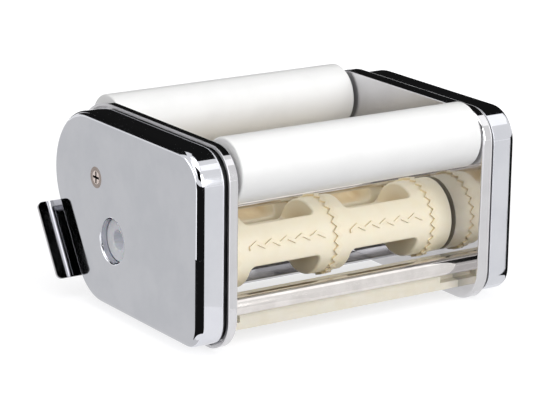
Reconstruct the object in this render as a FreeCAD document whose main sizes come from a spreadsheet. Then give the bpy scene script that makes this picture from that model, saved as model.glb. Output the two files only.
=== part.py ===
import FreeCAD, Part
import math
import os
import re
import Sketcher
from FreeCAD import Vector

# Ravioli moulding attachment for a hand cranked pasta machine.
# X runs along the rollers, the crank socket is at the -X end, -Y is the front and +Z is up.
# Every piece is drawn with Y = 0 at the nip between the two moulding rollers and Z = 0 at the
# bottom edge of the side plates. The placements then move the whole part so that its origin lies
# at the middle of its footprint.

SIZES = {
    # Side plates: pressed pans whose flange turns outwards, away from the rollers.
    "inner_width": 154.0,
    "plate_depth": 6.0,
    "sheet_wall": 1.5,
    "plate_front": -65.5,
    "plate_top": 107.3,
    "plate_rear": 54.9,
    "slant": 31.3,
    "plate_front_top_round": 17.5,
    "plate_rear_top_round": 38.0,
    "plate_rear_bottom_round": 22.0,
    "plate_front_bottom_round": 19.5,
    "plate_edge_round": 1.6,
    # Covers: deeper pans that close the cheeks, set back from the edge of the side plates.
    "cover_depth": 14.8,
    "cover_wall": 2.0,
    "cover_front": -64.1,
    "cover_top": 106.1,
    "cover_bottom": 4.1,
    "cover_rear": 48.3,
    "cover_front_top_round": 18.0,
    "cover_rear_top_round": 37.0,
    "cover_rear_bottom_round": 27.5,
    "cover_front_bottom_round": 13.5,
    "cover_edge_round": 3.4,
    "cover_inner_round": 1.4,
    # Spacer frames: they show as the black line between plate and cover, and locate the cover.
    "groove_width": 2.2,
    "spacer_inset": 1.2,
    "spacer_wall": 1.8,
    "spacer_lip": 3.0,
    "spacer_play": 0.1,
    # Feed tubes, their end bushes and the tie rods they turn on.
    "tube_radius": 17.5,
    "tube_wall": 3.0,
    "tube_gap": 1.5,
    "tube_edge_round": 1.0,
    "front_tube_y": -48.5,
    "front_tube_z": 92.7,
    "rear_tube_y": 67.7,
    "rear_tube_z": 91.1,
    "bush_length": 8.0,
    "bush_nose_radius": 6.5,
    "bush_nose_play": 0.2,
    "tie_radius": 4.0,
    "running_play": 0.05,
    # Lower cross rods and the pair of guide rods over the nip.
    "lower_rod_radius": 5.25,
    "lower_rod_y": 49.0,
    "front_rod_z": 20.4,
    "rear_rod_z": 23.4,
    "guide_radius": 2.0,
    "guide_y": 4.0,
    "guide_z": 58.3,
    # Moulding rollers with two pockets a turn in each half, between crimping rings.
    "roller_z": 41.8,
    "tooth_module": 2.0,
    "tooth_count": 22,
    "roller_play": 0.3,
    "roller_gap": 1.5,
    "crest_height": 1.5,
    "ring_width": 5.0,
    "ring_offset": 63.5,
    "pocket_radius": 22.2,
    "pocket_end_round": 3.0,
    "pocket_margin": 7.5,
    "web_half": 4.0,
    "lip_round": 1.2,
    "roller_tilt": 18.0,
    "bar_count": 2,
    "crimp_count": 26,
    "crest_wall": 2.6,
    "crest_foot": 0.4,
    "zigzag_pitch": 9.45,
    "zigzag_swing": 1.3,
    "zigzag_wall": 2.0,
    # Shafts, bearings, gears and the crank socket.
    "shaft_radius": 3.0,
    "shaft_stub": 0.5,
    "bearing_radius": 6.0,
    "bearing_flange_radius": 9.0,
    "bearing_flange": 1.0,
    "end_play": 0.3,
    "gear_width": 8.0,
    "gear_boss_radius": 7.0,
    "gear_boss_length": 4.6,
    "pressure_angle": 20.0,
    "tooth_root": 1.25,
    "gear_thinning": 0.25,
    "pin_radius": 0.9,
    "pin_inset": 2.2,
    "pin_short": 0.5,
    "clip_width": 1.2,
    "clip_radius": 5.5,
    "clip_cut": 0.6,
    "clip_mouth": 4.0,
    "clip_play": 0.1,
    "clip_stub": 1.5,
    "hub_recess": 3.9,
    "hub_play": 0.3,
    "hub_round": 0.6,
    "hub_web": 1.4,
    "hub_pin_offset": 2.3,
    "socket_radius": 5.2,
    "socket_depth": 6.5,
    "socket_mouth_round": 0.8,
    "socket_floor_round": 1.5,
    "crank_hole_radius": 12.1,
    "crank_collar_wall": 1.5,
    "crank_collar_depth": 6.4,
    "crank_hole_round": 1.2,
    # Scraper bars that free the moulded sheet from the rollers.
    "scraper_heel": 8.0,
    "scraper_back": 48.0,
    "scraper_top_end": 42.0,
    "scraper_under_end": 38.0,
    "scraper_lip_y": 30.2,
    "scraper_lip_z": 19.4,
    "scraper_tip": 1.2,
    "front_scraper_z": 6.5,
    "rear_scraper_z": 9.0,
    "scraper_notch_length": 12.3,
    "scraper_notch_depth": 5.0,
    "scraper_notch_floor": 4.0,
    "scraper_screw_y": 38.6,
    "scraper_screw_lift": 5.1,
    # Mounting plate with its two ears, across the slanted rear of the side plates.
    "ear_reach": 10.1,
    "ear_low": 11.9,
    "ear_high": 49.2,
    "ear_round": 3.0,
    "flange_front": 33.0,
    "flange_low": 0.4,
    "flange_bend": 1.2,
    "mount_play": 0.2,
    "rivet_radius": 1.5,
    "rivet_head_radius": 2.6,
    "rivet_head": 0.7,
    "rivet_tail_radius": 2.0,
    "rivet_tail": 1.0,
    "rivet_inset": 8.0,
    # Screws that hold the rods and scrapers, and the posts and screws that hold the covers.
    "screw_radius": 2.0,
    "screw_head_radius": 3.3,
    "screw_head": 2.4,
    "screw_length": 10.0,
    "screw_play": 0.1,
    "cross_span": 4.0,
    "cross_slot": 0.9,
    "cross_cut": 1.2,
    "cover_screw_y": 38.2,
    "cover_screw_z": 72.8,
    "cover_screw_radius": 3.0,
    "cover_screw_head_radius": 5.8,
    "cover_screw_length": 12.0,
    "cover_cross_span": 6.4,
    "cover_cross_slot": 1.3,
    "cover_cross_cut": 2.2,
    "post_radius": 6.5,
}

doc = FreeCAD.newDocument("RavioliRollers")
sheet = doc.addObject("Spreadsheet::Sheet", "Sheet")
for row, (alias, value) in enumerate(SIZES.items(), start=1):
    sheet.set(f"A{row}", str(value))
    sheet.setAlias(f"A{row}", alias)
doc.recompute()

nodes = []

# Places that several pieces share, as expressions of the sizes.
PLATE_FACE = "(inner_width / 2)"
WEB_FACE = "(inner_width / 2 + sheet_wall)"
PLATE_END = "(inner_width / 2 + plate_depth)"
COVER_START = "(inner_width / 2 + plate_depth + groove_width)"
COVER_FACE = "(inner_width / 2 + plate_depth + groove_width + cover_depth)"
COVER_INSIDE = f"({COVER_FACE} - cover_wall)"
ROLLER_Y = "(tooth_module * tooth_count / 2)"
ROLLER_RADIUS = f"({ROLLER_Y} - roller_play / 2)"
LAND_RADIUS = f"({ROLLER_RADIUS} - crest_height)"
ZIGZAG_REACH = "(zigzag_swing + zigzag_wall / 2)"
ZIGZAG_TOP = f"sqrt({ROLLER_RADIUS} * {ROLLER_RADIUS} - {ZIGZAG_REACH} * {ZIGZAG_REACH})"
ROLLER_END = "(inner_width / 2 - roller_gap)"
TUBE_END = "(inner_width / 2 - tube_gap)"
PLATE_REACH = ("(plate_rear + (plate_top - plate_rear_top_round) * tan(slant)"
               " + plate_rear_top_round * (1 - 1 / cos(slant)))")
NIP_Y = f"(-(front_tube_y - tube_radius + {PLATE_REACH}) / 2)"
SCOOP_AXIS = "(web_half + pocket_radius)"
CLIP_FACE = "(inner_width / 2 + plate_depth + end_play)"
GEAR_END = f"({CLIP_FACE} + gear_width + gear_boss_length)"
HUB_FACE = f"({COVER_FACE} - hub_recess)"
HUB_RADIUS = "(crank_hole_radius - hub_play)"
SHAFT_SEAT_END = f"({HUB_FACE} - socket_depth - hub_web)"

# Straight runs of the zigzag crest along the bar of one half.
ZIGZAG_RUNS = 10


def cells(expression):
    """Turn the bare size names of an expression into references to the sheet's cells."""
    return re.sub(r"\w+", lambda word: "Sheet." + word[0] if word[0] in SIZES else word[0], expression)


def value(expression):
    """The present value of an expression of the sizes."""
    return float(sheet.evalExpression(cells(expression).replace("Sheet.", "")))


def place(item, y="0", z="0", turn="0"):
    """Move a piece from its drawing position at the roller axis or nip to its place in the part."""
    item.Placement = FreeCAD.Placement(Vector(), FreeCAD.Rotation(Vector(1, 0, 0), value(turn)))
    if turn != "0":
        item.setExpression("Placement.Rotation.Angle", cells(turn))
    item.setExpression("Placement.Base.y", cells(f"{y} + {NIP_Y}"))
    item.setExpression("Placement.Base.z", cells(z))


def newBody(label, y="0", z="0", turn="0", separate=False):
    """A named body; a separate one holds several like pieces."""
    body = doc.addObject("PartDesign::Body", label)
    body.Label = label
    body.AllowCompound = separate
    place(body, y, z, turn)
    nodes.append(body)
    return body


def origin(body, role):
    """One of the body's own base planes or axes."""
    return next(item for item in body.Origin.OriginFeatures if item.Role == role)


def newSketch(body, role="YZ_Plane", offset="0", tilt=None):
    """A sketch on one of the body's base planes, moved along its normal and tilted about X."""
    sketch = body.newObject("Sketcher::SketchObject", "Sketch")
    sketch.AttachmentSupport = (origin(body, role), [""])
    sketch.MapMode = "FlatFace"
    if tilt:
        sketch.AttachmentOffset = FreeCAD.Placement(Vector(), FreeCAD.Rotation(Vector(1, 0, 0), value(tilt)))
        sketch.setExpression("AttachmentOffset.Rotation.Angle", cells(tilt))
    sketch.setExpression("AttachmentOffset.Base.z", cells(offset))
    return sketch


def bind(sketch, kind, expression, *where):
    """A dimension whose value comes from the sheet."""
    index = sketch.addConstraint(Sketcher.Constraint(kind, *where, value(expression)))
    sketch.setExpression(f"Constraints[{index}]", cells(expression))


def bindPoint(sketch, geometry, point, u, v):
    """Hold a point of the sketch at (u, v)."""
    bind(sketch, "DistanceX", u, -1, 1, geometry, point)
    bind(sketch, "DistanceY", v, -1, 1, geometry, point)


def circle(sketch, u, v, radius):
    """A circle of the given radius about (u, v)."""
    shape = Part.Circle(Vector(value(u), value(v), 0), Vector(0, 0, 1), value(radius))
    index = sketch.addGeometry(shape, False)
    bindPoint(sketch, index, 3, u, v)
    bind(sketch, "Radius", radius, index)


def polygon(sketch, corners):
    """A closed outline with sharp corners; returns the index of its first line."""
    spots = [Vector(value(u), value(v), 0) for u, v in corners]
    lines = [Part.LineSegment(spot, spots[(i + 1) % len(spots)]) for i, spot in enumerate(spots)]
    first = sketch.addGeometry(lines, False)[0]
    for i, (u, v) in enumerate(corners):
        bindPoint(sketch, first + i, 1, u, v)
        after = first + (i + 1) % len(corners)
        sketch.addConstraint(Sketcher.Constraint("Coincident", first + i, 2, after, 1))
    return first


def cornerArc(before, corner, after, radius):
    """The arc that rounds a corner, and its two ends in the order of the outline."""
    to_before = (before - corner).normalize()
    to_after = (after - corner).normalize()
    half = to_before.getAngle(to_after) / 2
    start = corner + to_before * (radius / math.tan(half))
    end = corner + to_after * (radius / math.tan(half))
    middle_way = (to_before + to_after).normalize()
    centre = corner + middle_way * (radius / math.sin(half))
    return Part.Arc(start, centre - middle_way * radius, end), start, end


def roundedOutline(sketch, corners):
    """A closed outline whose corners (u, v, radius) are rounded by tangent arcs, drawn anticlockwise."""
    spots = [Vector(value(u), value(v), 0) for u, v, radius in corners]
    count = len(corners)
    arcs = []
    for i, (u, v, radius) in enumerate(corners):
        arcs.append(cornerArc(spots[i - 1], spots[i], spots[(i + 1) % count], value(radius)))
    marks = sketch.addGeometry([Part.Point(spot) for spot in spots], True)
    lines = sketch.addGeometry([Part.LineSegment(arcs[i][2], arcs[(i + 1) % count][1])
                                for i in range(count)], False)
    rounds = sketch.addGeometry([arc for arc, start, end in arcs], False)
    for i, (u, v, radius) in enumerate(corners):
        bindPoint(sketch, marks[i], 1, u, v)
        for mark in (marks[i], marks[(i + 1) % count]):
            sketch.addConstraint(Sketcher.Constraint("PointOnObject", mark, 1, lines[i]))
        sketch.addConstraint(Sketcher.Constraint("Tangent", lines[i - 1], 2, rounds[i], 1))
        sketch.addConstraint(Sketcher.Constraint("Tangent", rounds[i], 2, lines[i], 1))
        bind(sketch, "Radius", radius, rounds[i])


def extrude(kind, body, sketch, length, backwards=False, both=False):
    """A pad or pocket of the sketch; a pocket runs against the sketch's normal unless backwards."""
    feature = body.newObject("PartDesign::" + kind, kind)
    feature.Profile = sketch
    feature.Midplane = both
    feature.Reversed = backwards
    feature.Length = value(length)
    feature.setExpression("Length", cells(length))
    doc.recompute()
    return feature


def fillet(body, radius, test):
    """Round the edges of the body's last feature that pass the test."""
    base = body.Tip
    names = [f"Edge{i}" for i, edge in enumerate(base.Shape.Edges, start=1) if test(edge)]
    feature = body.newObject("PartDesign::Fillet", "Fillet")
    feature.Base = (base, names)
    feature.Radius = value(radius)
    feature.setExpression("Radius", cells(radius))
    doc.recompute()
    return feature


def atX(edge, x):
    """Whether an edge lies wholly in the plane X = x of its body."""
    box = edge.BoundBox
    return abs(box.XMin - x) < 0.001 and abs(box.XMax - x) < 0.001


def onCircle(edge, radius):
    """Whether an edge is a full circle of the given radius."""
    return isinstance(edge.Curve, Part.Circle) and abs(edge.Curve.Radius - radius) < 0.001


def mirrorEnds(body, features):
    """Repeat features of the +X end at the -X end."""
    mirrored = body.newObject("PartDesign::Mirrored", "Mirrored")
    mirrored.Originals = features
    mirrored.MirrorPlane = (origin(body, "YZ_Plane"), [""])
    body.Tip = mirrored
    doc.recompute()


def repeatRound(body, features, count):
    """Repeat features evenly about the body's X axis."""
    pattern = body.newObject("PartDesign::PolarPattern", "PolarPattern")
    pattern.Originals = features
    pattern.Axis = (origin(body, "X_Axis"), [""])
    pattern.Angle = 360
    pattern.Occurrences = int(value(count))
    pattern.setExpression("Occurrences", cells(count))
    body.Tip = pattern
    doc.recompute()


def outline(shell, inset="0"):
    """The rounded outline of a side plate or cover, moved inwards by the inset."""
    low = "0" if shell == "plate" else f"{shell}_bottom"
    top = f"({shell}_top - ({inset}))"
    bottom = f"({low} + ({inset}))"
    front = f"({shell}_front + ({inset}))"
    rear = f"{shell}_rear - ({inset}) / cos(slant)"
    return [
        (front, bottom, f"{shell}_front_bottom_round - ({inset})"),
        (f"{rear} + {bottom} * tan(slant)", bottom, f"{shell}_rear_bottom_round - ({inset})"),
        (f"{rear} + {top} * tan(slant)", top, f"{shell}_rear_top_round - ({inset})"),
        (front, top, f"{shell}_front_top_round - ({inset})"),
    ]


def cross(sketch, u, v, span, slot):
    """The outline of a cross recess about (u, v)."""
    steps = [(1, -1), (1, 1)]
    corners = []
    for quarter in range(4):
        angle = quarter * math.pi / 2
        c = round(math.cos(angle))
        s = round(math.sin(angle))
        for out, side in steps:
            corners.append((f"({u}) + {c * out} * {span} / 2 - {s * side} * {slot} / 2",
                            f"({v}) + {s * out} * {span} / 2 + {c * side} * {slot} / 2"))
        corners.append((f"({u}) + {c - s} * {slot} / 2", f"({v}) + {s + c} * {slot} / 2"))
    polygon(sketch, corners)


def screwPlaces():
    """Centres of the screws in a side plate, as (y, z) expressions."""
    return [
        ("front_tube_y", "front_tube_z"),
        ("rear_tube_y", "rear_tube_z"),
        ("-lower_rod_y", "front_rod_z"),
        ("lower_rod_y", "rear_rod_z"),
        ("-scraper_screw_y", "front_scraper_z + scraper_screw_lift"),
        ("scraper_screw_y", "rear_scraper_z + scraper_screw_lift"),
    ]


def rivetPlaces(side):
    """Centres of one cheek's rivets on the slanted rear, as (x, distance up the slope)."""
    x = f"{side} * ({WEB_FACE} + {PLATE_END}) / 2"
    return [
        (x, "ear_low / cos(slant) + rivet_inset"),
        (x, "ear_high / cos(slant) - rivet_inset"),
    ]


def slopeSketch(body, height="0"):
    """A sketch on the slanted rear of the side plates, at a height towards the front."""
    sketch = newSketch(body, "XZ_Plane", "0", "-slant")
    sketch.setExpression("AttachmentOffset.Base.z", cells(f"-plate_rear + ({height}) * cos(slant)"))
    sketch.setExpression("AttachmentOffset.Base.y", cells(f"({height}) * sin(slant)"))
    return sketch


def sidePlate(label, side):
    """A pressed side plate with the holes for everything that passes through it."""
    body = newBody(label)
    sketch = newSketch(body, offset=f"{side} * {PLATE_FACE}")
    roundedOutline(sketch, outline("plate"))
    extrude("Pad", body, sketch, "plate_depth", backwards=side < 0)
    inner_face = side * value(PLATE_FACE)
    fillet(body, "plate_edge_round", lambda edge: atX(edge, inner_face))
    sketch = newSketch(body, offset=f"{side} * {PLATE_END}")
    roundedOutline(sketch, outline("plate", "sheet_wall"))
    extrude("Pocket", body, sketch, "plate_depth - sheet_wall", backwards=side < 0)
    sketch = newSketch(body, offset=f"{side} * ({PLATE_FACE} + sheet_wall / 2)")
    for y, z in screwPlaces():
        circle(sketch, y, z, "screw_radius + screw_play")
    for way in (-1, 1):
        circle(sketch, f"{way} * {ROLLER_Y}", "roller_z", "bearing_radius")
        circle(sketch, f"{way} * guide_y", "guide_z", "guide_radius")
    extrude("Pocket", body, sketch, "2 * sheet_wall", both=True)
    sketch = slopeSketch(body)
    for x, up in rivetPlaces(side):
        circle(sketch, x, up, "rivet_radius")
    extrude("Pocket", body, sketch, "3 * sheet_wall", both=True)


def cover(label, side, crank_hole):
    """A deep cover with its countersunk screw hole and, at the crank end, the flanged crank hole."""
    body = newBody(label)
    sketch = newSketch(body, offset=f"{side} * {COVER_START}")
    roundedOutline(sketch, outline("cover"))
    extrude("Pad", body, sketch, "cover_depth", backwards=side < 0)
    outer_face = side * value(COVER_FACE)
    fillet(body, "cover_edge_round", lambda edge: atX(edge, outer_face))
    sketch = newSketch(body, offset=f"{side} * {COVER_START}")
    roundedOutline(sketch, outline("cover", "cover_wall"))
    extrude("Pocket", body, sketch, "cover_depth - cover_wall", backwards=side > 0)
    floor = side * value(COVER_INSIDE)
    fillet(body, "cover_inner_round", lambda edge: atX(edge, floor))
    if crank_hole:
        collar = "crank_hole_radius + crank_collar_wall"
        sketch = newSketch(body, offset=f"{side} * ({COVER_FACE} - cover_wall / 2)")
        circle(sketch, ROLLER_Y, "roller_z", collar)
        extrude("Pad", body, sketch, "crank_collar_depth - cover_wall / 2", backwards=side > 0)
        sketch = newSketch(body, offset=f"{side} * {COVER_FACE}")
        circle(sketch, ROLLER_Y, "roller_z", "crank_hole_radius")
        extrude("Pocket", body, sketch, "crank_collar_depth", backwards=side < 0)
        rim = value("crank_hole_radius")
        fillet(body, "crank_hole_round", lambda edge: atX(edge, outer_face) and onCircle(edge, rim))
    countersink(body, side)


def countersink(body, side):
    """The conical seat of the cover screw."""
    seatCone(body, "PartDesign::SubtractiveCone", side)


def seatCone(body, kind, side):
    """The cone of the cover screw's head, widest at the cover's face."""
    depth = "(cover_screw_head_radius - cover_screw_radius)"
    cone = body.newObject(kind, "Cone")
    cone.AttachmentSupport = (origin(body, "YZ_Plane"), [""])
    cone.MapMode = "FlatFace"
    if side < 0:
        cone.AttachmentOffset = FreeCAD.Placement(Vector(), FreeCAD.Rotation(Vector(0, 1, 0), 180))
    bindings = (
        ("Radius1", "cover_screw_radius"),
        ("Radius2", "cover_screw_head_radius"),
        ("Height", depth),
        ("AttachmentOffset.Base.x", "cover_screw_y"),
        ("AttachmentOffset.Base.y", "cover_screw_z"),
        ("AttachmentOffset.Base.z", f"{side} * ({COVER_FACE} - {depth})"),
    )
    for name, expression in bindings:
        cone.setExpression(name, cells(expression))
    doc.recompute()
    return cone


def spacer(label, side):
    """A moulded frame between plate and cover, with a lip that locates the cover."""
    body = newBody(label)
    sketch = newSketch(body, offset=f"{side} * {WEB_FACE}")
    roundedOutline(sketch, outline("cover", "spacer_inset"))
    extrude("Pad", body, sketch, f"{COVER_START} - {WEB_FACE}", backwards=side < 0)
    sketch = newSketch(body, offset=f"{side} * {COVER_START}")
    roundedOutline(sketch, outline("cover", "cover_wall + spacer_play"))
    extrude("Pad", body, sketch, "spacer_lip", backwards=side < 0)
    sketch = newSketch(body, offset=f"{side} * ({COVER_START} + spacer_lip)")
    roundedOutline(sketch, outline("cover", "spacer_inset + spacer_wall"))
    extrude("Pocket", body, sketch, f"{COVER_START} + spacer_lip - {WEB_FACE}", backwards=side < 0)


def tube(label, y, z):
    """A free turning feed tube."""
    body = newBody(label, y, z)
    sketch = newSketch(body)
    circle(sketch, "0", "0", "tube_radius")
    circle(sketch, "0", "0", "tube_radius - tube_wall")
    extrude("Pad", body, sketch, f"2 * {TUBE_END}", both=True)
    rim = value("tube_radius")
    fillet(body, "tube_edge_round", lambda edge: onCircle(edge, rim))


def tubeBush(label, y, z, side):
    """A bush pressed into a tube's end, whose nose keeps the tube off the side plate."""
    body = newBody(label, y, z)
    sketch = newSketch(body, offset=f"{side} * {TUBE_END}")
    circle(sketch, "0", "0", "tube_radius - tube_wall")
    extrude("Pad", body, sketch, "bush_length", backwards=side > 0)
    sketch = newSketch(body, offset=f"{side} * {TUBE_END}")
    circle(sketch, "0", "0", "bush_nose_radius")
    extrude("Pad", body, sketch, "tube_gap - bush_nose_play", backwards=side < 0)
    sketch = newSketch(body, offset=f"{side} * {PLATE_FACE}")
    circle(sketch, "0", "0", "tie_radius + running_play")
    extrude("Pocket", body, sketch, "tube_gap + bush_length", backwards=side < 0)


def crossRod(label, y, z, radius):
    """A rod between the side plates, tapped at both ends."""
    body = newBody(label, y, z)
    sketch = newSketch(body)
    circle(sketch, "0", "0", radius)
    extrude("Pad", body, sketch, "inner_width", both=True)
    sketch = newSketch(body, offset=PLATE_FACE)
    circle(sketch, "0", "0", "screw_radius")
    bore = extrude("Pocket", body, sketch, "screw_length")
    mirrorEnds(body, [bore])


def guideRod(label, y):
    """A thin rod over the nip, set in holes in both side plates."""
    body = newBody(label, y, "guide_z")
    sketch = newSketch(body)
    circle(sketch, "0", "0", "guide_radius")
    extrude("Pad", body, sketch, f"2 * {WEB_FACE}", both=True)


def scoopGroove(body):
    """The pockets of the +Z side, one in each half, turned about an axis beside the roller."""
    sketch = newSketch(body, "XZ_Plane")
    sketch.setExpression("AttachmentOffset.Base.y", cells(SCOOP_AXIS))
    radius = value("pocket_end_round")
    mouth = "-(pocket_radius - pocket_end_round)"
    for half in (-1, 1):
        half_length = "((ring_offset - ring_width) / 2 - pocket_margin)"
        low = f"({half} * ring_offset / 2 - {half_length})"
        high = f"({half} * ring_offset / 2 + {half_length})"
        centres = [f"{low} + pocket_end_round", f"{high} - pocket_end_round"]
        spots = [(low, "0"), (low, mouth), (centres[0], "-pocket_radius"),
                 (centres[1], "-pocket_radius"), (high, mouth), (high, "0")]
        ends = [Vector(value(x), value(z), 0) for x, z in spots]
        down, along, up, axis = sketch.addGeometry([Part.LineSegment(ends[0], ends[1]),
                                                    Part.LineSegment(ends[2], ends[3]),
                                                    Part.LineSegment(ends[4], ends[5]),
                                                    Part.LineSegment(ends[5], ends[0])], False)
        first, second = sketch.addGeometry([quarterArc(value(centres[0]), value(mouth), radius, 180),
                                            quarterArc(value(centres[1]), value(mouth), radius, 270)],
                                           False)
        for join in ((down, 2, first, 1), (first, 2, along, 1), (along, 2, second, 1),
                     (second, 2, up, 1), (up, 2, axis, 1), (axis, 2, down, 1)):
            sketch.addConstraint(Sketcher.Constraint("Coincident", *join))
        bindPoint(sketch, down, 1, *spots[0])
        bindPoint(sketch, up, 2, *spots[5])
        bindPoint(sketch, first, 1, *spots[1])
        bindPoint(sketch, first, 3, centres[0], mouth)
        bindPoint(sketch, second, 3, centres[1], mouth)
        bind(sketch, "DistanceX", centres[0], -1, 1, along, 1)
        bind(sketch, "DistanceX", centres[1], -1, 1, along, 2)
        bind(sketch, "DistanceY", mouth, -1, 1, second, 2)
        sketch.addConstraint(Sketcher.Constraint("Horizontal", along))
    groove = body.newObject("PartDesign::Groove", "Groove")
    groove.Profile = sketch
    groove.ReferenceAxis = (sketch, ["H_Axis"])
    groove.Angle = 360
    doc.recompute()
    return groove


def quarterArc(x, z, radius, start):
    """A quarter circle about (x, z) that begins at the given angle in degrees."""
    whole = Part.Circle(Vector(x, z, 0), Vector(0, 0, 1), radius)
    return Part.ArcOfCircle(whole, math.radians(start), math.radians(start + 90))


def onLip(edge):
    """Whether an edge of the roller is where a pocket runs out through its land."""
    box = edge.BoundBox
    if box.XLength < 0.1:
        return False
    land = value(LAND_RADIUS)
    spots = [edge.valueAt(edge.FirstParameter + part * (edge.LastParameter - edge.FirstParameter))
             for part in (0.1, 0.5, 0.9)]
    return all(abs(math.hypot(spot.y, spot.z) - land) < 0.01 for spot in spots)


def crimpCuts(body, way, turn):
    """One triangle cut out of one side of each ring, turned about the roller's axis."""
    sketch = newSketch(body, "XY_Plane", tilt=turn)
    sketch.setExpression("AttachmentOffset.Base.y", cells(f"-{ROLLER_RADIUS} * sin({turn})"))
    sketch.setExpression("AttachmentOffset.Base.z", cells(f"{ROLLER_RADIUS} * cos({turn})"))
    half_pitch = f"({ROLLER_RADIUS} * tan(180 / crimp_count) - crest_foot / 2)"
    for ring in (-1, 0, 1):
        side = f"({ring} * ring_offset + {way} * ring_width / 2)"
        polygon(sketch, [(side, f"-{half_pitch}"),
                         (f"{side} - {way} * (ring_width - crest_wall)", "0"),
                         (side, half_pitch)])
    return extrude("Pocket", body, sketch, "crest_height")


def zigzagCrest(body):
    """The crests that run in a zigzag along the middle of one bar, one in each half."""
    sketch = newSketch(body, "XZ_Plane", f"{LAND_RADIUS} - zigzag_swing")
    for half in (-1, 1):
        upper = []
        lower = []
        for step in range(ZIGZAG_RUNS + 1):
            swing = "zigzag_swing" if step % 2 else "-zigzag_swing"
            x = f"{half} * ring_offset / 2 + {step - ZIGZAG_RUNS / 2} * zigzag_pitch / 2"
            upper.append((x, f"{swing} + zigzag_wall / 2"))
            lower.append((x, f"{swing} - zigzag_wall / 2"))
        polygon(sketch, lower + upper[::-1])
    return extrude("Pad", body, sketch, f"zigzag_swing + {ZIGZAG_TOP} - {LAND_RADIUS}")


def frontRoller():
    """The front moulding roller, with a bar towards the front and one towards the nip."""
    body = newBody("front_roller", f"-{ROLLER_Y}", "roller_z", "-roller_tilt")
    sketch = newSketch(body)
    circle(sketch, "0", "0", LAND_RADIUS)
    extrude("Pad", body, sketch, f"2 * {ROLLER_END}", both=True)
    repeatRound(body, [scoopGroove(body)], "bar_count")
    fillet(body, "lip_round", onLip)
    for ring in (-1, 0, 1):
        sketch = newSketch(body, offset=f"{ring} * ring_offset")
        circle(sketch, "0", "0", ROLLER_RADIUS)
        extrude("Pad", body, sketch, "ring_width", both=True)
    repeatRound(body, [crimpCuts(body, -1, "0")], "crimp_count")
    repeatRound(body, [crimpCuts(body, 1, "180 / crimp_count")], "crimp_count")
    repeatRound(body, [zigzagCrest(body)], "bar_count")
    sketch = newSketch(body)
    circle(sketch, "0", "0", "shaft_radius")
    extrude("Pocket", body, sketch, f"2 * {ROLLER_END}", both=True)
    return body


def rearRoller(front_roller):
    """The rear moulding roller: the front one's mirror image, which it meets bar to bar."""
    item = doc.addObject("Part::Mirroring", "rear_roller")
    item.Label = "rear_roller"
    item.Source = front_roller
    item.Normal = Vector(0, 1, 0)
    item.setExpression("Base.y", cells(NIP_Y))
    nodes.append(item)


def crossHole(body, x):
    """A hole for a drive pin, square through the body's axis at x."""
    sketch = newSketch(body, "XY_Plane")
    circle(sketch, x, "0", "pin_radius")
    extrude("Pocket", body, sketch, f"2 * {HUB_RADIUS}", both=True)


def shaft(label, way, left):
    """A roller's shaft, with a hole for the gear's drive pin."""
    body = newBody(label, f"{way} * {ROLLER_Y}", "roller_z", f"{way} * roller_tilt")
    sketch = newSketch(body, offset=f"-({left})")
    circle(sketch, "0", "0", "shaft_radius")
    extrude("Pad", body, sketch, f"{left} + {GEAR_END} + shaft_stub")
    crossHole(body, f"{GEAR_END} - pin_inset")
    return body


def frontShaft():
    """The driven shaft, kept in place by a clip in a groove at its left end."""
    body = shaft("front_roller_shaft", -1, f"{CLIP_FACE} + clip_width + clip_stub")
    sketch = newSketch(body, offset=f"-({CLIP_FACE} + clip_width / 2)")
    circle(sketch, "0", "0", "2 * shaft_radius")
    circle(sketch, "0", "0", "shaft_radius - clip_cut")
    extrude("Pocket", body, sketch, "clip_width + clip_play", both=True)


def rearShaft():
    """The driving shaft, which ends inside the crank hub."""
    body = shaft("rear_roller_shaft", 1, SHAFT_SEAT_END)
    crossHole(body, f"-({CLIP_FACE} + hub_pin_offset)")


def retainingClip():
    """The open clip in the front shaft's groove."""
    body = newBody("front_shaft_clip", f"-{ROLLER_Y}", "roller_z", "-roller_tilt")
    sketch = newSketch(body, offset=f"-({CLIP_FACE})")
    circle(sketch, "0", "0", "clip_radius")
    circle(sketch, "0", "0", "shaft_radius - clip_cut")
    extrude("Pad", body, sketch, "clip_width", backwards=True)
    sketch = newSketch(body, offset=f"-({CLIP_FACE} + clip_width / 2)")
    polygon(sketch, [("-clip_mouth / 2", "-2 * clip_radius"), ("clip_mouth / 2", "-2 * clip_radius"),
                     ("clip_mouth / 2", "0"), ("-clip_mouth / 2", "0")])
    extrude("Pocket", body, sketch, "2 * clip_width", both=True)


def bearingBush(label, way, side):
    """A flanged bush that carries one end of a roller shaft in a side plate."""
    body = newBody(label, f"{way} * {ROLLER_Y}", "roller_z")
    sketch = newSketch(body, offset=f"{side} * {PLATE_FACE}")
    circle(sketch, "0", "0", "bearing_flange_radius")
    extrude("Pad", body, sketch, "bearing_flange", backwards=side > 0)
    sketch = newSketch(body, offset=f"{side} * {PLATE_FACE}")
    circle(sketch, "0", "0", "bearing_radius")
    extrude("Pad", body, sketch, "plate_depth", backwards=side < 0)
    sketch = newSketch(body, offset=f"{side} * {PLATE_END}")
    circle(sketch, "0", "0", "shaft_radius + running_play")
    extrude("Pocket", body, sketch, "plate_depth + bearing_flange", backwards=side < 0)


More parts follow.
